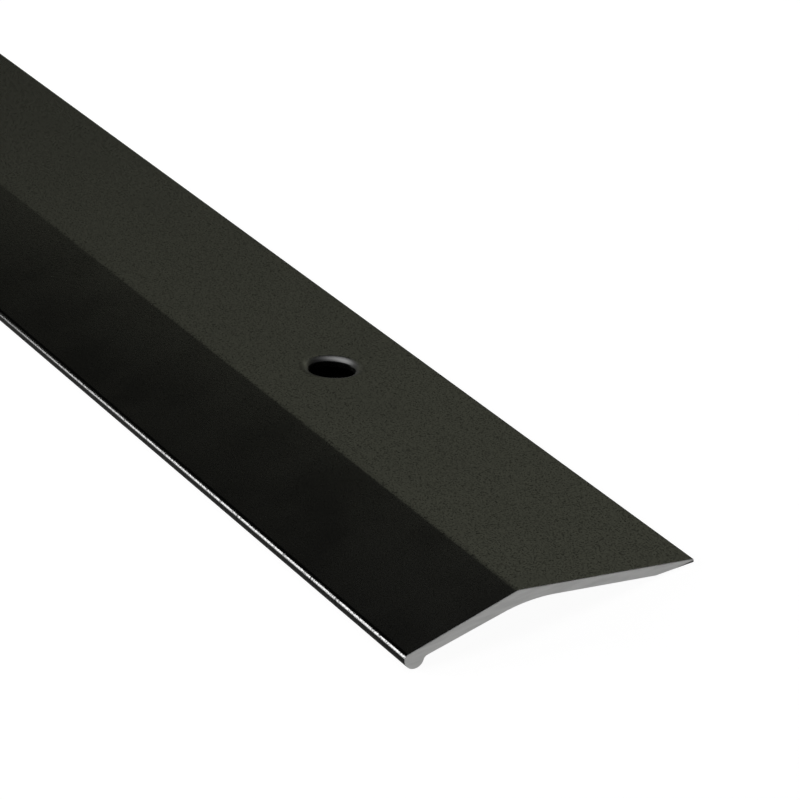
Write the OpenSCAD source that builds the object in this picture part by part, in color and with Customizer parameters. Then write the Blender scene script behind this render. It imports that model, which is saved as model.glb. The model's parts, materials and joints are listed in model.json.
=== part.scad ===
// Extruded door threshold strip: a shallow, lopsided roof section that stands on a round bead
// along one edge and on a bevelled feather edge along the other, drilled for screws down the
// middle of its long wing.
// Millimetres. X runs along the strip, Y from the bead to the feather edge, Z up from the floor.
// The origin is the middle of the footprint.

/* [Strip] */
// Length from one sawn end to the other
strip_length = 900; // [300:10:2700]
// Overall width, from the bead's outer edge to the feather edge
strip_width = 35; // [29:0.5:45]

/* [Long wing] */
// Slope of the long wing's top face, in degrees
long_wing_pitch = 11.1; // [9:0.1:14]
// Thickness of the long wing, square to its top face
long_wing_wall = 1.2; // [0.9:0.05:1.5]
// Height of the blunt feather edge above the floor
feather_edge_height = 0.4; // [0.3:0.05:0.8]
// Gap under the inner edge of the floor bevel, so that the feather edge bites first
floor_bevel_relief = 0.1; // [0:0.02:0.2]

/* [Short wing] */
// Distance from the bead's outer edge to the line where the two top faces would meet
ridge_offset = 14; // [11.5:0.5:17]
// Radius that softens the ridge
ridge_radius = 1.8; // [0.5:0.1:3]
// Thickness of the short wing above the bead
short_wing_wall_at_bead = 1.2; // [1:0.05:1.4]
// Thickness of the short wing below the ridge
short_wing_wall_at_ridge = 1.6; // [1.3:0.05:1.95]
// Radius that blends the undersides of the two wings
ridge_blend_radius = 18; // [6:0.5:22]

/* [Bead] */
// Radius of the round bead that stands on the floor
bead_radius = 1.15; // [1:0.05:1.45]
// Height that the short wing's flat top trims off the bead
bead_crown_trim = 0.3; // [0.2:0.02:0.4]
// Radius of the shoulder between the short wing's top and the bead
bead_shoulder_radius = 0.6; // [0.4:0.05:0.8]
// Radius in the corner between the bead and the short wing's underside
bead_root_radius = 0.7; // [0.3:0.05:0.9]

/* [Screw holes] */
// Number of screw holes along the strip
hole_count = 5; // [2:1:9]
// Distance of the first and last hole from the sawn ends
hole_end_margin = 62.7; // [20:0.1:120]
// Diameter of the through hole
hole_diameter = 5.5; // [3.5:0.1:6.6]
// Diameter of the shallow seat around a hole, at the top face
seat_diameter = 7.8; // [7.3:0.1:10.5]
// Depth of the seat below the top face
seat_depth = 0.45; // [0.1:0.05:0.6]
// Shift of the hole line from the middle of the long wing, towards the feather edge
hole_line_shift = 0; // [-1:0.1:1]

/* [Hidden] */
$fn = 96;

// Straight steps that make up each round stretch of the section
arc_steps = 24;
// How far the seat's cutting cone runs past the face that it cuts
overcut = 1;

// The bead touches the floor and the outer edge of the strip
bead_centre = [bead_radius, bead_radius];

// Both top faces end at the ridge: the long wing's rises from the feather edge, and the short
// wing's runs down over the bead at a set height above its centre
ridge_height = feather_edge_height + (strip_width - ridge_offset) * tan(long_wing_pitch);
ridge = [ridge_offset, ridge_height];
bead_to_ridge = ridge - bead_centre;
top_over_bead = bead_radius - bead_crown_trim;
short_wing_pitch = compass(bead_to_ridge) - asin(top_over_bead / norm(bead_to_ridge));
short_top_start = bead_centre - below(short_wing_pitch) * top_over_bead;

// The short wing's underside is a little flatter than its top, because the wing thickens
short_under_start = short_top_start + below(short_wing_pitch) * short_wing_wall_at_bead;
short_under_end = ridge + below(short_wing_pitch) * short_wing_wall_at_ridge;
short_under_pitch = compass(short_under_end - short_under_start);

// The long wing's underside runs parallel to its top down to the floor bevel, which falls the
// last little way to the bottom of the feather edge
long_under_start = ridge + below(-long_wing_pitch) * long_wing_wall;
long_under_fall = long_under_start[1] - floor_bevel_relief;
floor_bevel_start = [
    long_under_start[0] + long_under_fall / tan(long_wing_pitch),
    floor_bevel_relief,
];

// The undersides would meet in a valley below the ridge, which an arc tangent to both rounds off
under_gap = long_under_start - short_under_start;
valley_run = (under_gap[1] + under_gap[0] * tan(long_wing_pitch))
             / (tan(short_under_pitch) + tan(long_wing_pitch));
valley = short_under_start + [valley_run, valley_run * tan(short_under_pitch)];
blend_reach = ridge_blend_radius * tan((short_under_pitch + long_wing_pitch) / 2);
blend_centre = valley - along(short_under_pitch) * blend_reach
               + below(short_under_pitch) * ridge_blend_radius;

// The root arc touches the bead and the short wing's underside
root_drop = (short_under_start - bead_centre) * below(short_under_pitch) + bead_root_radius;
root_run = sqrt(pow(bead_radius + bead_root_radius, 2) - pow(root_drop, 2));
root_centre = bead_centre + below(short_under_pitch) * root_drop
              + along(short_under_pitch) * root_run;
root_angle = compass(bead_centre - root_centre);

// The shoulder arc touches the short wing's top face and the inside of the bead's circle
shoulder_rise = top_over_bead - bead_shoulder_radius;
shoulder_run = sqrt(pow(bead_radius - bead_shoulder_radius, 2) - pow(shoulder_rise, 2));
bead_to_shoulder = -below(short_wing_pitch) * shoulder_rise - along(short_wing_pitch) * shoulder_run;
shoulder_centre = bead_centre + bead_to_shoulder;
shoulder_angle = compass(bead_to_shoulder);

// The holes stand square to the long wing, down the middle of its slope
long_wing_slope = (strip_width - ridge_offset) / cos(long_wing_pitch);
hole_centre = ridge + along(-long_wing_pitch) * (long_wing_slope / 2 + hole_line_shift);
hole_pitch = (strip_length - 2 * hole_end_margin) / (hole_count - 1);

// The ridge arc touches both top faces
ridge_reach = ridge_radius * tan((short_wing_pitch + long_wing_pitch) / 2);
ridge_centre = ridge + along(-long_wing_pitch) * ridge_reach + below(-long_wing_pitch) * ridge_radius;

// Unit vectors up a slope, and square to it into the metal below
function along(pitch) = [cos(pitch), sin(pitch)];
function below(pitch) = [sin(pitch), -cos(pitch)];

// Angle of a direction, in degrees from 0 to 360
function compass(direction) = (atan2(direction[1], direction[0]) + 360) % 360;

// Points round a centre from one angle to another, in degrees
function arc(centre, radius, start, end) = [
    for (i = [0 : arc_steps])
        centre + radius * along(start + (end - start) * i / arc_steps)
];

// Outline of the extruded section, from the ridge over the feather edge and back under it
module section() {
    polygon(concat(
        arc(ridge_centre, ridge_radius, 90 + short_wing_pitch, 90 - long_wing_pitch),
        [[strip_width, feather_edge_height], [strip_width, 0], floor_bevel_start],
        arc(blend_centre, ridge_blend_radius, 90 - long_wing_pitch, 90 + short_under_pitch),
        arc(root_centre, bead_root_radius, 90 + short_under_pitch, root_angle),
        arc(bead_centre, bead_radius, root_angle - 180, shoulder_angle - 360),
        arc(shoulder_centre, bead_shoulder_radius, shoulder_angle, 90 + short_wing_pitch)
    ));
}

// One screw hole with its shallow seat, placed where its axis meets the long wing's top face
module screw_hole() {
    seat_flare = (seat_diameter - hole_diameter) / seat_depth;
    rotate([-long_wing_pitch, 0, 0]) {
        cylinder(d = hole_diameter, h = 4 * long_wing_wall, center = true);
        translate([0, 0, -seat_depth])
            cylinder(
                h = seat_depth + overcut,
                d1 = hole_diameter,
                d2 = seat_diameter + seat_flare * overcut
            );
    }
}

// The extruded aluminium strip, drilled
module ramp_profile() {
    color([0.19, 0.19, 0.17])
        difference() {
            translate([0, -strip_width / 2, 0])
                rotate([90, 0, 90])
                    linear_extrude(height = strip_length, center = true)
                        section();
            for (i = [0 : hole_count - 1])
                translate([
                    hole_end_margin + i * hole_pitch - strip_length / 2,
                    hole_centre[0] - strip_width / 2,
                    hole_centre[1],
                ])
                    screw_hole();
        }
}

ramp_profile();
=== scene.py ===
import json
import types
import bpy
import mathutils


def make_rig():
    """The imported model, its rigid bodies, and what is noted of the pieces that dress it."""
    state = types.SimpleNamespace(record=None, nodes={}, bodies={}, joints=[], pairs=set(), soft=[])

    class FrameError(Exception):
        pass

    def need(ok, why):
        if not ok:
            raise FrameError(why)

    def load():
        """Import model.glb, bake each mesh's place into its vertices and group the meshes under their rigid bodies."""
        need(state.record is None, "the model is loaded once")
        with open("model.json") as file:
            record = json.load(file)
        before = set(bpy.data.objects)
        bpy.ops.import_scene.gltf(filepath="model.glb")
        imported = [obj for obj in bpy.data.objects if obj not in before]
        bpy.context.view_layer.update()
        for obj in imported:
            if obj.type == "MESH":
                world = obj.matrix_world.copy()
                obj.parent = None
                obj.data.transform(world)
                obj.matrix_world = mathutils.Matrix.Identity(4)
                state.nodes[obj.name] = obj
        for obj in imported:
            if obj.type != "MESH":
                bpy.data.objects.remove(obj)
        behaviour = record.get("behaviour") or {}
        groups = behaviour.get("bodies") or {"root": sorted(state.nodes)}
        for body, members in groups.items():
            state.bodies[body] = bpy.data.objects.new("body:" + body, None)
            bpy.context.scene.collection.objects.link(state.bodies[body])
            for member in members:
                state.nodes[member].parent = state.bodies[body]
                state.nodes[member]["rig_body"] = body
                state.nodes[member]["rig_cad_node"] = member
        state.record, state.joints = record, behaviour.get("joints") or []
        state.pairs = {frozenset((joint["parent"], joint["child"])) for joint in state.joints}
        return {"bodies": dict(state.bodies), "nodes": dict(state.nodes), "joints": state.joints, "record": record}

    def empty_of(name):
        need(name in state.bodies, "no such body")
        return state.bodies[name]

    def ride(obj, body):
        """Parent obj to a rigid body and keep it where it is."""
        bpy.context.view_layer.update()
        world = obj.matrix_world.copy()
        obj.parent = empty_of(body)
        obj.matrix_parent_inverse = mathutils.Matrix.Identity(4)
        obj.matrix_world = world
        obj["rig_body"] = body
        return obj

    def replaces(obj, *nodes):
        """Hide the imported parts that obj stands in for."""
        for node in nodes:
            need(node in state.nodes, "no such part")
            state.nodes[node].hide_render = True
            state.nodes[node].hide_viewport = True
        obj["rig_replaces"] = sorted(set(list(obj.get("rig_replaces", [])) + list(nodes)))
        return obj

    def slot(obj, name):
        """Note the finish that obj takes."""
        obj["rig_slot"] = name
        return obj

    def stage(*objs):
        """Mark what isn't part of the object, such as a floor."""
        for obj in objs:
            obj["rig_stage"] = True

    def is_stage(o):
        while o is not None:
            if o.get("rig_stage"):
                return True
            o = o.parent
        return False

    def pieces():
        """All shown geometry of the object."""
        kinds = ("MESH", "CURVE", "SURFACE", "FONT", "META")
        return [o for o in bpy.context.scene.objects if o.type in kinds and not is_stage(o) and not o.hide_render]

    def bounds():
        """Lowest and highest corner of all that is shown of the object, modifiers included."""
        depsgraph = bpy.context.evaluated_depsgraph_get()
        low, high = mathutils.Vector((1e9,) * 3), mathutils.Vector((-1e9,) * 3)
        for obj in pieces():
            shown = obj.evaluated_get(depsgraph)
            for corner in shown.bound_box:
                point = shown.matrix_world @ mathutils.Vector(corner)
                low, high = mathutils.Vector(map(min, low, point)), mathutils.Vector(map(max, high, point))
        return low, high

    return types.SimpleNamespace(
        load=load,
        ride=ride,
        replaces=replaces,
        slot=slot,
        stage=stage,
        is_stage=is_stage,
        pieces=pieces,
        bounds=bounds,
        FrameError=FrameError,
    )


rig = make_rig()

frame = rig.load()

import json
import math

import bpy
from mathutils import Matrix, Vector

# Door threshold strip: one anodised aluminium extrusion, sawn to length and drilled for screws.
# Metres throughout. X runs along the strip, Y from the bead to the feather edge, Z up.

cadLow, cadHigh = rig.bounds()
mm = 0.001
mounts = {mount["name"]: mount for mount in frame["record"]["mounts"]}
screwHoles = [mount for name, mount in sorted(mounts.items()) if name.startswith("screw_hole")]


class Wire:  # one output socket; sums on wires become Math nodes
    def __init__(self, finish, socket):
        self.finish, self.socket = finish, socket

    def __getitem__(self, outputName):
        return Wire(self.finish, self.socket.node.outputs[outputName])

    def maths(self, operation, first, second=0.0):
        return self.finish.node("ShaderNodeMath", {"operation": operation}, {0: first, 1: second})

    def __add__(self, other):
        return self.maths("ADD", self, other)

    def __radd__(self, other):
        return self.maths("ADD", other, self)

    def __sub__(self, other):
        return self.maths("SUBTRACT", self, other)

    def __rsub__(self, other):
        return self.maths("SUBTRACT", other, self)

    def __mul__(self, other):
        return self.maths("MULTIPLY", self, other)

    def __rmul__(self, other):
        return self.maths("MULTIPLY", other, self)

    def __truediv__(self, other):
        return self.maths("DIVIDE", self, other)

    def __abs__(self):
        return self.maths("ABSOLUTE", self)

    def __round__(self):
        return self.maths("ROUND", self)

    def root(self):
        return self.maths("SQRT", self)

    def ramp(self, low, high):  # 0 below low, 1 above high, smooth between
        settings = {"interpolation_type": "SMOOTHSTEP"}
        sockets = {"Value": self, "From Min": low, "From Max": high}
        return self.finish.node("ShaderNodeMapRange", settings, sockets)


class Finish:  # one material, world or light, built node by node
    def __init__(self, owner):
        owner.use_nodes = True
        self.tree = owner.node_tree
        self.tree.nodes.clear()

    def node(self, kind, settings, sockets):
        made = self.tree.nodes.new(kind)
        for name, value in settings.items():
            setattr(made, name, value)
        for name, value in sockets.items():
            named = [s for s in made.inputs if name in (s.name, s.identifier) and s.enabled]
            socket = made.inputs[name] if isinstance(name, int) else named[0]
            if isinstance(value, Wire):
                self.tree.links.new(value.socket, socket)
            else:
                socket.default_value = value
        ready = [s for s in made.outputs if s.enabled]
        return Wire(self, ready[0]) if ready else None

    def mixColour(self, factor, first, second):
        sockets = {"Factor": factor, "A": first, "B": second}
        return self.node("ShaderNodeMix", {"data_type": "RGBA"}, sockets)

    def place(self):  # x, y and z on the object, in metres
        where = self.node("ShaderNodeTexCoord", {}, {})["Object"]
        apart = self.node("ShaderNodeSeparateXYZ", {}, {"Vector": where})
        return where, apart["X"], apart["Y"], apart["Z"]

    def noise(self, where, size, detail=2.0, roughness=0.5, stretch=(1, 1, 1)):
        scaled = self.node("ShaderNodeVectorMath", {"operation": "MULTIPLY"}, {0: where, 1: stretch})
        return self.node("ShaderNodeTexNoise", {"noise_dimensions": "3D"}, {
            "Vector": scaled, "Scale": 1 / size, "Detail": detail, "Roughness": roughness})


# Section of the extrusion, drawn from the bead to the feather edge
section = {
    "featherHeight": 0.4 * mm,       # blunt feather edge above the floor
    "bevelRelief": 0.1 * mm,         # gap under the inner edge of the floor bevel
    "longWall": 1.2 * mm,
    "ridgeOffset": 14 * mm,          # bead's outer edge to the ridge
    "ridgeRadius": 1.8 * mm,
    "wallAtBead": 1.2 * mm,
    "wallAtRidge": 1.6 * mm,
    "blendRadius": 18 * mm,          # between the undersides of the wings
    "beadRadius": 1.15 * mm,
    "crownTrim": 0.3 * mm,
    "shoulderRadius": 0.6 * mm,
    "rootRadius": 0.7 * mm,
    "featherRadius": 0.06 * mm,      # softens the feather edge's corners
    "edgeSupport": 0.25 * mm,        # flat faces keep a line of points this far from each curve
    "ridgeSteps": 16,                # straight pieces in each curve
    "blendSteps": 20,
    "rootSteps": 10,
    "beadSteps": 48,
    "shoulderSteps": 12,
}

holeSeat = {
    "seatRadius": 3.9 * mm,
    "seatDepth": 0.45 * mm,
    "burrRadius": 0.08 * mm,         # rounds the bore into the underside
    "rimSupport": 0.2 * mm,          # flat rings outside the seat and outside the burr
    "burrSupport": 0.15 * mm,
    "boreSupport": 0.04 * mm,        # straight rings at the top and bottom of the bore
    "burrGap": 0.05 * mm,
    "seatSteps": 16,
    "burrSteps": 4,
    "patchHalf": 5.6 * mm,           # half the square that each hole takes out of the long wing
    "sideSteps": 16,                 # points along a side of that square
}

sawCut = {
    "edgeBreak": 0.05 * mm,          # tiny chamfer that the saw and a wipe of the file leave
    "sharpAngle": math.radians(30),  # corners steeper than this stay crisp
}


def along(pitch):
    return Vector((math.cos(pitch), math.sin(pitch)))


def below(pitch):
    return Vector((math.sin(pitch), -math.cos(pitch)))


def compass(direction):
    return math.atan2(direction.y, direction.x) % (2 * math.pi)


def arc(centre, radius, start, end, steps):
    return [centre + along(start + (end - start) * i / steps) * radius for i in range(steps + 1)]


def patchSteps():  # places across a hole's square that give equal angles round the hole
    half = holeSeat["sideSteps"] // 2
    return [holeSeat["patchHalf"] * math.tan(math.pi / 4 * i / half) for i in range(-half, half + 1)]


def sectionOutline():
    s = section
    width = cadHigh.y - cadLow.y
    axis = screwHoles[0]["axis"]
    pitch = math.atan2(axis[1], axis[2])
    quarter = math.pi / 2

    beadCentre = Vector((s["beadRadius"], s["beadRadius"]))
    ridge = Vector((s["ridgeOffset"], s["featherHeight"] + (width - s["ridgeOffset"]) * math.tan(pitch)))
    topOverBead = s["beadRadius"] - s["crownTrim"]
    shortPitch = compass(ridge - beadCentre) - math.asin(topOverBead / (ridge - beadCentre).length)
    shortTopStart = beadCentre - below(shortPitch) * topOverBead
    shortUnderStart = shortTopStart + below(shortPitch) * s["wallAtBead"]
    underPitch = compass(ridge + below(shortPitch) * s["wallAtRidge"] - shortUnderStart)
    longUnderStart = ridge + below(-pitch) * s["longWall"]
    bevelRun = (longUnderStart.y - s["bevelRelief"]) / math.tan(pitch)
    bevelStart = Vector((longUnderStart.x + bevelRun, s["bevelRelief"]))

    gap = longUnderStart - shortUnderStart
    valleyRun = (gap.y + gap.x * math.tan(pitch)) / (math.tan(underPitch) + math.tan(pitch))
    valley = shortUnderStart + Vector((valleyRun, valleyRun * math.tan(underPitch)))
    blendReach = s["blendRadius"] * math.tan((underPitch + pitch) / 2)
    blendCentre = valley - along(underPitch) * blendReach + below(underPitch) * s["blendRadius"]

    rootDrop = (shortUnderStart - beadCentre).dot(below(underPitch)) + s["rootRadius"]
    rootRun = math.sqrt((s["beadRadius"] + s["rootRadius"]) ** 2 - rootDrop ** 2)
    rootCentre = beadCentre + below(underPitch) * rootDrop + along(underPitch) * rootRun
    rootAngle = compass(beadCentre - rootCentre)

    shoulderRise = topOverBead - s["shoulderRadius"]
    shoulderRun = math.sqrt((s["beadRadius"] - s["shoulderRadius"]) ** 2 - shoulderRise ** 2)
    toShoulder = -below(shortPitch) * shoulderRise - along(shortPitch) * shoulderRun
    shoulderAngle = compass(toShoulder)

    ridgeReach = s["ridgeRadius"] * math.tan((shortPitch + pitch) / 2)
    ridgeCentre = ridge + along(-pitch) * ridgeReach + below(-pitch) * s["ridgeRadius"]

    holeY = screwHoles[0]["pos_m"][1] - cadLow.y
    holeRun = (Vector((holeY, screwHoles[0]["pos_m"][2])) - ridge).dot(along(-pitch))
    support = s["edgeSupport"]
    tipTop, tipBottom = Vector((width, s["featherHeight"])), Vector((width, 0))
    soft = s["featherRadius"]
    bevelDown = (tipBottom - bevelStart).normalized()

    def onTop(run):
        return ridge + along(-pitch) * run

    def onUnder(run):
        return longUnderStart + along(-pitch) * run

    blendArc = arc(blendCentre, s["blendRadius"], quarter - pitch, quarter + underPitch, s["blendSteps"])
    rootArc = arc(rootCentre, s["rootRadius"], quarter + underPitch, rootAngle, s["rootSteps"])
    beadStart, beadEnd = rootAngle - math.pi, shoulderAngle - 2 * math.pi
    beadArc = arc(beadCentre, s["beadRadius"], beadStart, beadEnd, s["beadSteps"])
    shoulderCentre, shoulderEnd = beadCentre + toShoulder, quarter + shortPitch
    shoulderArc = arc(
        shoulderCentre, s["shoulderRadius"], shoulderAngle, shoulderEnd, s["shoulderSteps"])
    ridgeArc = arc(ridgeCentre, s["ridgeRadius"], shoulderEnd, quarter - pitch, s["ridgeSteps"])

    points = ridgeArc + [ridgeArc[-1] + along(-pitch) * support]
    topStart = len(points)
    points += [onTop(holeRun + step) for step in patchSteps()]
    points += [tipTop - along(-pitch) * (soft + support), tipTop - along(-pitch) * soft]
    points += [tipTop - Vector((0, soft)), tipBottom + Vector((0, soft))]
    points += [tipBottom - bevelDown * soft, tipBottom - bevelDown * (soft + support)]
    points += [bevelStart + bevelDown * support, bevelStart + bevelDown * soft]
    points += [bevelStart + along(-pitch) * -soft, bevelStart + along(-pitch) * -2 * soft]
    underStart = len(points)
    points += [onUnder(holeRun + step) for step in reversed(patchSteps())]
    points += [blendArc[0] + along(-pitch) * 0.1 * support] + blendArc
    points += [blendArc[-1] - along(underPitch) * support, rootArc[0] + along(underPitch) * support]
    points += rootArc + beadArc[1:] + shoulderArc
    points += [shoulderArc[-1] + along(shortPitch) * support, ridgeArc[0] - along(shortPitch) * support]
    shifted = [point + Vector((cadLow.y, 0)) for point in points]
    return shifted, topStart, underStart, pitch


def insetOutline(points, depth):  # the outline drawn in by depth, square to itself
    drawn = []
    for i, point in enumerate(points):
        before, after = point - points[i - 1], points[(i + 1) % len(points)] - point
        way = (before.normalized() + after.normalized()).normalized()
        drawn.append(point + Vector((way.y, -way.x)) * depth)
    return drawn


def seatProfile(boreRadius, wall):  # (radius, depth below the top face), from the seat down the bore
    h = holeSeat
    width, burr = h["seatRadius"] - boreRadius, h["burrRadius"]
    profile = [(h["seatRadius"] + h["rimSupport"], 0.0)]
    for i in range(h["seatSteps"] + 1):                    # the seat steepens towards the bore
        share = i / h["seatSteps"]
        profile.append((h["seatRadius"] - width * share, h["seatDepth"] * share ** 2))
    profile.append((boreRadius, h["seatDepth"] + h["boreSupport"]))
    profile.append((boreRadius, wall - burr - h["burrGap"]))
    for i in range(h["burrSteps"] + 1):
        turn = math.pi / 2 * i / h["burrSteps"]
        profile.append((boreRadius + burr * (1 - math.cos(turn)), wall - burr * (1 - math.sin(turn))))
    profile.append((boreRadius + burr + h["burrSupport"], wall))
    return profile


def buildStrip():
    outline, topStart, underStart, pitch = sectionOutline()
    inner = insetOutline(outline, sawCut["edgeBreak"])
    steps = patchSteps()
    side = holeSeat["sideSteps"]
    around = len(outline)
    edge = sawCut["edgeBreak"]

    # Rings of points along the strip: the sawn ends, and a square's worth of rings at each hole
    support = edge + section["edgeSupport"]
    places = [(cadLow.x, inner), (cadLow.x + edge, outline), (cadLow.x + support, outline)]
    holeRings = []
    for hole in screwHoles:
        holeRings.append(len(places))
        places += [(hole["pos_m"][0] + step, outline) for step in steps]
    places += [(cadHigh.x - support, outline), (cadHigh.x - edge, outline), (cadHigh.x, inner)]
    points = [(x, p.x, p.y) for x, ring in places for p in ring]

    faces, bare = [], []

    def quad(a, b, c, d, isBare=False):
        faces.append((a, b, c, d))
        bare.append(isBare)

    inHole = {start + i for start in holeRings for i in range(side)}
    for ring in range(len(places) - 1):
        for i in range(around):
            onTopSquare = topStart <= i < topStart + side
            onUnderSquare = underStart <= i < underStart + side
            if ring in inHole and (onTopSquare or onUnderSquare):
                continue
            j = (i + 1) % around
            here, there = ring * around, (ring + 1) * around
            cut = ring in (0, len(places) - 2)
            quad(here + i, there + i, there + j, here + j, cut)
    lastRing = (len(places) - 1) * around
    faces.append(tuple(range(around)))
    faces.append(tuple(lastRing + i for i in reversed(range(around))))
    bare += [True, True]

    # Each hole: rings from the square on the top face, over the seat, down the bore and out below
    normal = Vector((0, math.sin(pitch), math.cos(pitch)))
    downSlope = Vector((0, math.cos(pitch), -math.sin(pitch)))
    for hole, first in zip(screwHoles, holeRings):
        middle = topStart + side // 2
        centre = Vector((hole["pos_m"][0], outline[middle].x, outline[middle].y))
        lower = underStart + side // 2
        wall = (centre - Vector((centre.x, outline[lower].x, outline[lower].y))).dot(normal)
        profile = seatProfile(hole["dims"]["r_mm"] * mm, wall)

        def squareLoop(start, flip):  # the square's points, once round, as (ring, place in the outline)
            loop = [(i, 0) for i in range(side)] + [(side, i) for i in range(side)]
            loop += [(side - i, side) for i in range(side)] + [(0, side - i) for i in range(side)]
            return [(first + a) * around + start + (side - b if flip else b) for a, b in loop]

        topLoop, underLoop = squareLoop(topStart, False), squareLoop(underStart, True)
        angles = []
        for index in topLoop:
            offset = Vector(points[index]) - centre
            angles.append(math.atan2(offset.dot(downSlope), offset.x))
        loops = [topLoop]
        for radius, depth in profile:
            start = len(points)
            for angle in angles:
                spot = centre + Vector((1, 0, 0)) * radius * math.cos(angle)
                spot += downSlope * radius * math.sin(angle) - normal * depth
                points.append(tuple(spot))
            loops.append(list(range(start, start + len(angles))))
        loops.append(underLoop)
        for outer, innerLoop in zip(loops, loops[1:]):
            for i in range(len(angles)):
                j = (i + 1) % len(angles)
                quad(outer[i], outer[j], innerLoop[j], innerLoop[i])

    mesh = bpy.data.meshes.new("thresholdStrip")
    mesh.from_pydata(points, [], faces)
    strip = bpy.data.objects.new("thresholdStrip", mesh)
    bpy.context.scene.collection.objects.link(strip)
    for polygon, isBare in zip(mesh.polygons, bare):
        polygon.material_index = int(isBare)
        polygon.use_smooth = not isBare
    mesh.set_sharp_from_angle(angle=sawCut["sharpAngle"])
    mesh.validate()
    print("strip:", len(points), "points", len(faces), "faces")
    return strip, pitch


strip, wingPitch = buildStrip()
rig.ride(strip, "root")
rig.replaces(strip, "ramp_profile")
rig.slot(strip, "bronze_anodised")


anodising = {
    "deepTone": (0.0034, 0.0034, 0.0028, 1),
    "paleTone": (0.0056, 0.0057, 0.0045, 1),
    "cloudSize": 9 * mm,             # slow change of tone
    "cloudSpan": (0.35, 0.65),       # cloud values that turn deep into pale
    "grainSize": 0.22 * mm,
    "grainDepth": 0.004 * mm,
    "fleckSize": 0.22 * mm,          # small flecks that have lost their sheen
    "fleckSpan": (0.46, 0.66),
    "fleckHeight": 0.5,              # next to a grain's height
    "roughness": 0.17,
    "grainSpread": 0.08,
    "cloudSpread": 0.05,
    "sheenIor": 1.5,
    "fleckIor": 1.15,
    "fleckRoughness": 0.1,           # added to the roughness round about
    "seatRoughness": 0.30,           # the seats have a hard sheen over the rest
    "seatFade": (0.78, 0.98),        # shares of the seat's radius
    "boreFade": (0.01 * mm, 0.11 * mm),   # outside the bore's edge
    "seatCoatRoughness": 0.36,
    "seatCoatIor": 2.0,
    "nicksFromEnd": [39.2 * mm, 21.4 * mm, 15.6 * mm],   # dull spots along the bead
    "nickSize": 0.22 * mm,
    "nickCore": 0.3,                 # share of a nick's size that is fully dull
    "beadFace": (0.5 * mm, 0.6 * mm),   # nicks end this far in from the bead's edge
    "speckFromEnd": 7.2 * mm,        # one dark speck
    "speckDownWing": 3.68 * mm,
    "speckSize": 0.17 * mm,
    "speckCore": 0.5,
}

# Painted shade, not the finish's own colour: dark lines laid over it, where each starts and ends, and how much of it
# is dark
paintedShadeLines = {
    "tone": (0.001, 0.001, 0.001, 1),
    "roughness": 0.2,
    "ior": 1.05,
    "groove": (0.27 * mm, 0.60 * mm),   # painted shade line where the bead meets the short wing, from the bead's edge
    "grooveSoftness": 0.08 * mm,
    "grooveShare": 0.9,
    "feather": (-0.2 * mm, -0.1 * mm),   # painted shade along the feather edge, from that edge
    "featherShare": 0.8,
    "rim": (-3.0 * mm, -2.2 * mm),   # painted shade on the ridge side of each seat, from the hole's middle
    "rimOuter": (3.5 * mm, 4.0 * mm),
    "rimShare": 0.5,
}


def paintedShadeMask(y, acrossY, fromHole):
    # Painted shade: how much black each point takes, beside the bead, along the feather edge and on the ridge side of
    # each seat
    d = paintedShadeLines
    fromBead = y - cadLow.y
    beadShadeStart, beadShadeEnd = d["groove"]
    opening = fromBead.ramp(beadShadeStart, beadShadeStart + d["grooveSoftness"])
    groove = opening * (1 - fromBead.ramp(beadShadeEnd - d["grooveSoftness"], beadShadeEnd))
    feather = (y - cadHigh.y).ramp(*d["feather"])
    rim = (1 - acrossY.ramp(*d["rim"])) * (1 - fromHole.ramp(*d["rimOuter"]))
    return groove * d["grooveShare"] + feather * d["featherShare"] + rim * d["rimShare"]


def nickMask(x, y):
    a = anodising
    onBead = 1 - (y - cadLow.y).ramp(*a["beadFace"])
    marks = 0.0
    for fromEnd in a["nicksFromEnd"]:
        apart = abs(x - (cadHigh.x - fromEnd))
        marks = (1 - apart.ramp(a["nickCore"] * a["nickSize"], a["nickSize"])) * onBead + marks
    return marks


def speckMask(x, y):
    a = anodising
    ridgeY = cadLow.y + section["ridgeOffset"]
    alongX = x - (cadHigh.x - a["speckFromEnd"])
    downY = y - (ridgeY + a["speckDownWing"] * math.cos(wingPitch))
    apart = (alongX * alongX + downY * downY).root()
    return 1 - apart.ramp(a["speckCore"] * a["speckSize"], a["speckSize"])


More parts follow.
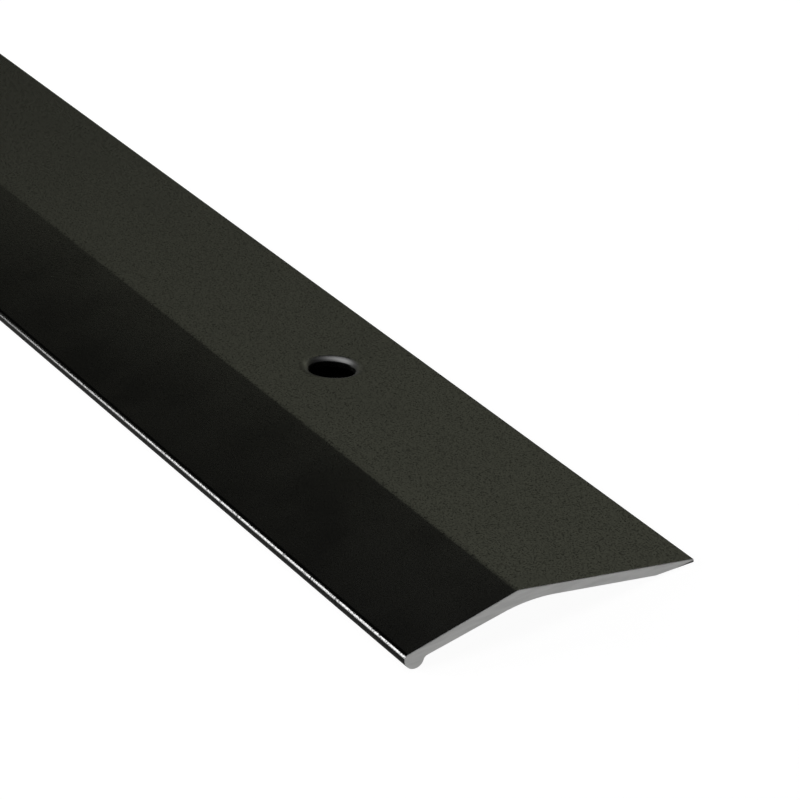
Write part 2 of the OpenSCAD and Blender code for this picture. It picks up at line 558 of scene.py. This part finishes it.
def anodisedSkin():
    a = anodising
    material = bpy.data.materials.new("bronzeAnodised")
    finish = Finish(material)
    where, x, y, z = finish.place()
    cloud = finish.noise(where, a["cloudSize"], detail=3.0)
    grain = finish.noise(where, a["grainSize"], detail=3.0, roughness=0.65)
    fleck = finish.noise(where, a["fleckSize"], detail=2.0, roughness=0.7)
    tone = finish.mixColour(cloud.ramp(*a["cloudSpan"]), a["deepTone"], a["paleTone"])

    # How far each point is from the nearest hole, measured on the long wing
    hole = screwHoles[0]
    pitchAlong = screwHoles[1]["pos_m"][0] - hole["pos_m"][0]
    turns = round((x - hole["pos_m"][0]) / pitchAlong)
    alongX = x - hole["pos_m"][0] - turns * pitchAlong
    acrossY = (y - hole["pos_m"][1]) / math.cos(wingPitch)
    fromHole = (alongX * alongX + acrossY * acrossY).root()
    bore, seat = hole["dims"]["r_mm"] * mm, holeSeat["seatRadius"]
    inSeat = 1 - fromHole.ramp(*[share * seat for share in a["seatFade"]])
    inSeat = inSeat * fromHole.ramp(*[bore + gap for gap in a["boreFade"]])

    roughness = a["roughness"] + a["grainSpread"] * (grain - 0.5) + a["cloudSpread"] * (cloud - 0.5)
    roughness = roughness - inSeat * (a["roughness"] - a["seatRoughness"])
    bump = finish.node("ShaderNodeBump", {}, {
        "Strength": 1.0, "Distance": a["grainDepth"], "Height": grain + fleck * a["fleckHeight"]})
    sheen = finish.node("ShaderNodeBsdfPrincipled", {}, {
        "Base Color": tone, "Roughness": roughness, "Metallic": 0.0, "IOR": a["sheenIor"],
        "Normal": bump, "Coat Weight": inSeat, "Coat Roughness": a["seatCoatRoughness"],
        "Coat IOR": a["seatCoatIor"]})
    dull = finish.node("ShaderNodeBsdfPrincipled", {}, {
        "Base Color": tone, "Roughness": roughness + a["fleckRoughness"], "Metallic": 0.0,
        "IOR": a["fleckIor"], "Normal": bump})
    flecks = fleck.ramp(*a["fleckSpan"]) * (1 - inSeat)
    lost = flecks + (speckMask(x, y) + nickMask(x, y)) * (1 - flecks)
    skin = finish.node("ShaderNodeMixShader", {}, {0: lost, 1: sheen, 2: dull})

    # Painted shade: a black, barely reflecting finish mixed over the skin along the painted shade lines
    paintedShadeBsdf = finish.node("ShaderNodeBsdfPrincipled", {}, {
        "Base Color": paintedShadeLines["tone"], "Roughness": paintedShadeLines["roughness"], "Metallic": 0.0,
        "IOR": paintedShadeLines["ior"]})
    shadowed = paintedShadeMask(y, acrossY, fromHole)
    surface = finish.node("ShaderNodeMixShader", {}, {0: shadowed, 1: skin, 2: paintedShadeBsdf})
    finish.node("ShaderNodeOutputMaterial", {}, {"Surface": surface})
    return material


sawnMetal = {
    "tone": (0.75, 0.75, 0.74, 1),
    "darkTone": (0.67, 0.67, 0.66, 1),
    "grime": (0.06, 0.06, 0.055, 1),
    "grimeHeight": 0.32 * mm,        # painted shade, dark under the feather edge's corner
    "grimeSolid": 0.6,               # share of that height that is wholly shaded
    "grimeTaper": 0.08,              # height lost for each unit of distance from that corner
    "roughness": 0.45,
    "roughnessSpread": 0.1,
    "metallic": 0.6,
    "toothPitch": 0.35 * mm,
    "markStretch": (1, 0.12, 1),     # marks run across the end, from bead to feather edge
    "markSpan": (0.3, 0.7),
    "markDepth": 0.003 * mm,
    "gritSize": 0.08 * mm,
    "gritHeight": 0.4,               # next to a saw mark's height
}


def sawnAluminium():
    s = sawnMetal
    material = bpy.data.materials.new("sawnAluminium")
    finish = Finish(material)
    where, x, y, z = finish.place()
    marks = finish.noise(where, s["toothPitch"], detail=2.0, stretch=s["markStretch"])
    grit = finish.noise(where, s["gritSize"], detail=2.0)
    tone = finish.mixColour(marks.ramp(*s["markSpan"]), s["darkTone"], s["tone"])
    # Painted shade: the sawn face turns dark low under the feather edge's corner, for the shadow under the bevel
    unshaded = (z + (cadHigh.y - y) * s["grimeTaper"]).ramp(
        s["grimeSolid"] * s["grimeHeight"], s["grimeHeight"])
    tone = finish.mixColour(unshaded, s["grime"], tone)
    bump = finish.node("ShaderNodeBump", {}, {
        "Strength": 1.0, "Distance": s["markDepth"], "Height": marks + grit * s["gritHeight"]})
    surface = finish.node("ShaderNodeBsdfPrincipled", {}, {
        "Base Color": tone, "Roughness": s["roughness"] + s["roughnessSpread"] * (grit - 0.5),
        "Metallic": s["metallic"], "Normal": bump})
    finish.node("ShaderNodeOutputMaterial", {}, {"Surface": surface})
    return material


strip.data.materials.append(anodisedSkin())
strip.data.materials.append(sawnAluminium())
print("finishes: anodised skin and sawn ends")


stageFloor = {
    "half": 12.0,
    "drop": 0.02 * mm,               # just below the strip, so that the two never share a face
    "tone": (0.08, 0.08, 0.08, 1),
    "roughness": 0.8,
    "glow": 0.96,                    # the floor is a light table, so that shadows stay faint
    "patchRadius": 8 * mm,           # painted shade: a black patch on the floor under each hole
    "patchSides": 32,
    "patchTone": (0.004, 0.004, 0.004, 1),
}


def stagePiece(name, points, faces):
    mesh = bpy.data.meshes.new(name)
    mesh.from_pydata(points, [], faces)
    piece = bpy.data.objects.new(name, mesh)
    bpy.context.scene.collection.objects.link(piece)
    return piece


def makeFloor():
    f = stageFloor
    half = f["half"]
    corners = [(-half, -half, 0), (half, -half, 0), (half, half, 0), (-half, half, 0)]
    floor = stagePiece("floor", corners, [(0, 1, 2, 3)])
    floor.location.z = -f["drop"]
    material = bpy.data.materials.new("paleFloor")
    finish = Finish(material)
    surface = finish.node("ShaderNodeBsdfPrincipled", {}, {
        "Base Color": f["tone"], "Roughness": f["roughness"], "Emission Color": (1, 1, 1, 1),
        "Emission Strength": f["glow"]})
    finish.node("ShaderNodeOutputMaterial", {}, {"Surface": surface})
    floor.data.materials.append(material)
    material.cycles.emission_sampling = "NONE"
    floor.visible_glossy = False     # the strip mirrors the dim room and the panels instead
    floor.visible_shadow = False     # the bead's panel reaches below the floor
    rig.stage(floor)


def makeShade():  # painted shade: black patches on the floor, so that the holes show shade
    f = stageFloor
    points, faces = [], []
    for hole in screwHoles:
        first = len(points)
        for i in range(f["patchSides"]):
            turn = 2 * math.pi * i / f["patchSides"]
            x = hole["pos_m"][0] + f["patchRadius"] * math.cos(turn)
            y = hole["pos_m"][1] + f["patchRadius"] * math.sin(turn)
            points.append((x, y, 0.0))
        faces.append(tuple(range(first, first + f["patchSides"])))
    shade = stagePiece("shade", points, faces)
    material = bpy.data.materials.new("shadeBlack")
    finish = Finish(material)
    surface = finish.node("ShaderNodeBsdfDiffuse", {}, {"Color": f["patchTone"]})
    finish.node("ShaderNodeOutputMaterial", {}, {"Surface": surface})
    shade.data.materials.append(material)
    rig.stage(shade)


room = {
    "above": 0.016,                  # dim overhead, so that the flat faces stay dark
    "front": 0.30,                   # below the horizon, on the side that the sawn end faces
    "back": 0.09,
    "frontSpan": (-0.3, 0.5),        # where back turns into front, as a share of a unit direction
    "horizonSpan": (-0.08, 0.08),
    "backdrop": 0.95,                # what the camera sees past the floor
}


def makeWorld():
    world = bpy.data.worlds.new("room")
    bpy.context.scene.world = world
    finish = Finish(world)
    direction = finish.node("ShaderNodeTexCoord", {}, {})["Generated"]
    apart = finish.node("ShaderNodeSeparateXYZ", {}, {"Vector": direction})
    lower = room["back"] + (room["front"] - room["back"]) * apart["X"].ramp(*room["frontSpan"])
    level = lower + (room["above"] - lower) * apart["Z"].ramp(*room["horizonSpan"])
    seen = finish.node("ShaderNodeLightPath", {}, {})["Is Camera Ray"]
    strength = level * (1 - seen) + room["backdrop"] * seen
    light = finish.node("ShaderNodeBackground", {}, {"Color": (1, 1, 1, 1), "Strength": strength})
    finish.node("ShaderNodeOutputWorld", {}, {"Surface": light})


nearEnd = Vector((cadHigh.x, 0, 0))

# Each panel stands at an azimuth (turned from +X towards +Y), this far from the near end across the
# floor and this high; it faces back level or tipped, and is turned about its own middle. Brightness
# is its radiance where it is brightest, and the floor is about 1. From there it falls to footGlow at
# the foot, within footFade of its height or straight over all of it, and to dark at the sides and top.
softboxes = {
    "backPanel": {
        "azimuth": 152.9, "reach": 0.400, "height": 0.124, "faces": (155, 0), "turn": 26.8,
        "size": (0.324, 0.240), "brightness": 0.44, "footGlow": 0.145, "footFade": "straight",
        "edge": 0.02, "colour": (1.0, 1.03, 0.77)},
    "ceilingPanel": {
        "azimuth": 165, "reach": 0.488, "height": 1.096, "faces": (165, 66), "turn": 0,
        "size": (1.5, 1.2), "brightness": 2.2, "footGlow": 0.0, "footFade": 0.45,
        "edge": 0.8, "colour": (1.0, 1.0, 1.0)},
    "beadPanel": {
        "azimuth": 216.1, "reach": 0.4, "height": 0.04, "faces": (213, 0), "turn": -15,
        "size": (0.12, 0.30), "brightness": 20.0, "footGlow": 0.0, "footFade": 0.8,
        "edge": 0.1, "colour": (1.0, 1.0, 1.0)},
    "frontFill": {
        "azimuth": -35, "reach": 1.73, "height": 1.0, "faces": (-35, 30), "turn": 0,
        "size": (1.4, 1.0), "brightness": 0.7, "footGlow": 0.0, "footFade": 0.25,
        "edge": 0.4, "colour": (1.0, 1.0, 1.0)},
}


def outward(azimuth, elevation):
    turn, lift = math.radians(azimuth), math.radians(elevation)
    level = math.cos(lift)
    return Vector((math.cos(turn) * level, math.sin(turn) * level, math.sin(lift)))


def makeSoftbox(name, s):
    width, height = s["size"]
    data = bpy.data.lights.new(name, "AREA")
    data.shape = "RECTANGLE"
    data.size, data.size_y = width, height
    data.energy = s["brightness"] * math.pi * width * height
    data.color = s["colour"]
    finish = Finish(data)
    face = finish.node("ShaderNodeNewGeometry", {}, {})["Parametric"]
    spot = finish.node("ShaderNodeSeparateXYZ", {}, {"Vector": face})
    across, up = 1 - abs(2 * spot["X"] - 1), spot["Y"]
    rise = up if s["footFade"] == "straight" else up.ramp(0, s["footFade"])
    glow = s["footGlow"] + (1 - s["footGlow"]) * rise
    fade = glow * across.ramp(0, s["edge"]) * (1 - up).ramp(0, s["edge"] / 2)
    light = finish.node("ShaderNodeEmission", {}, {"Color": (1, 1, 1, 1), "Strength": fade})
    finish.node("ShaderNodeOutputLight", {}, {"Surface": light})
    panel = bpy.data.objects.new(name, data)
    bpy.context.scene.collection.objects.link(panel)
    level = outward(*s["faces"]).to_track_quat("Z", "Y").to_matrix()
    turned = level @ Matrix.Rotation(math.radians(s["turn"]), 3, "Z")
    place = nearEnd + outward(s["azimuth"], 0) * s["reach"] + Vector((0, 0, s["height"]))
    panel.matrix_world = Matrix.Translation(place) @ turned.to_4x4()
    panel.visible_camera = False


view = {
    "aimFromEnd": 50.72 * mm,        # the point looked at: this far from the near sawn end
    "aimAcross": 9.44 * mm,          # and from the strip's middle line
    "aimHeight": 1.98 * mm,
    "azimuth": 65.15, "elevation": 27.14, "roll": 7.68,
    "distance": 504.03 * mm,
    "lens": 198, "sensor": 36,
    "nearest": 0.01, "farthest": 50,
}


def makeCamera():
    azimuth, elevation = math.radians(view["azimuth"]), math.radians(view["elevation"])
    across, rise = math.cos(elevation), math.sin(elevation)
    back = Vector((math.sin(azimuth) * across, -math.cos(azimuth) * across, rise))
    aim = Vector((cadHigh.x - view["aimFromEnd"], view["aimAcross"], view["aimHeight"]))
    data = bpy.data.cameras.new("camera")
    data.lens, data.sensor_width = view["lens"], view["sensor"]
    data.clip_start, data.clip_end = view["nearest"], view["farthest"]
    camera = bpy.data.objects.new("camera", data)
    bpy.context.scene.collection.objects.link(camera)
    level = (-back).to_track_quat("-Z", "Y").to_matrix()
    turned = level @ Matrix.Rotation(-math.radians(view["roll"]), 3, "Z")
    camera.matrix_world = Matrix.Translation(aim + back * view["distance"]) @ turned.to_4x4()
    bpy.context.scene.camera = camera


makeFloor()
makeShade()
makeWorld()
for name, settings in softboxes.items():
    makeSoftbox(name, settings)
makeCamera()
bpy.context.scene.view_settings.view_transform = "Standard"
bpy.context.view_layer.update()
print("stage: floor, world, lights and camera")

low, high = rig.bounds()
with open("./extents.json", "w") as sizes:
    json.dump({"cad": [list(cadLow), list(cadHigh)], "visual": [list(low), list(high)]}, sizes)
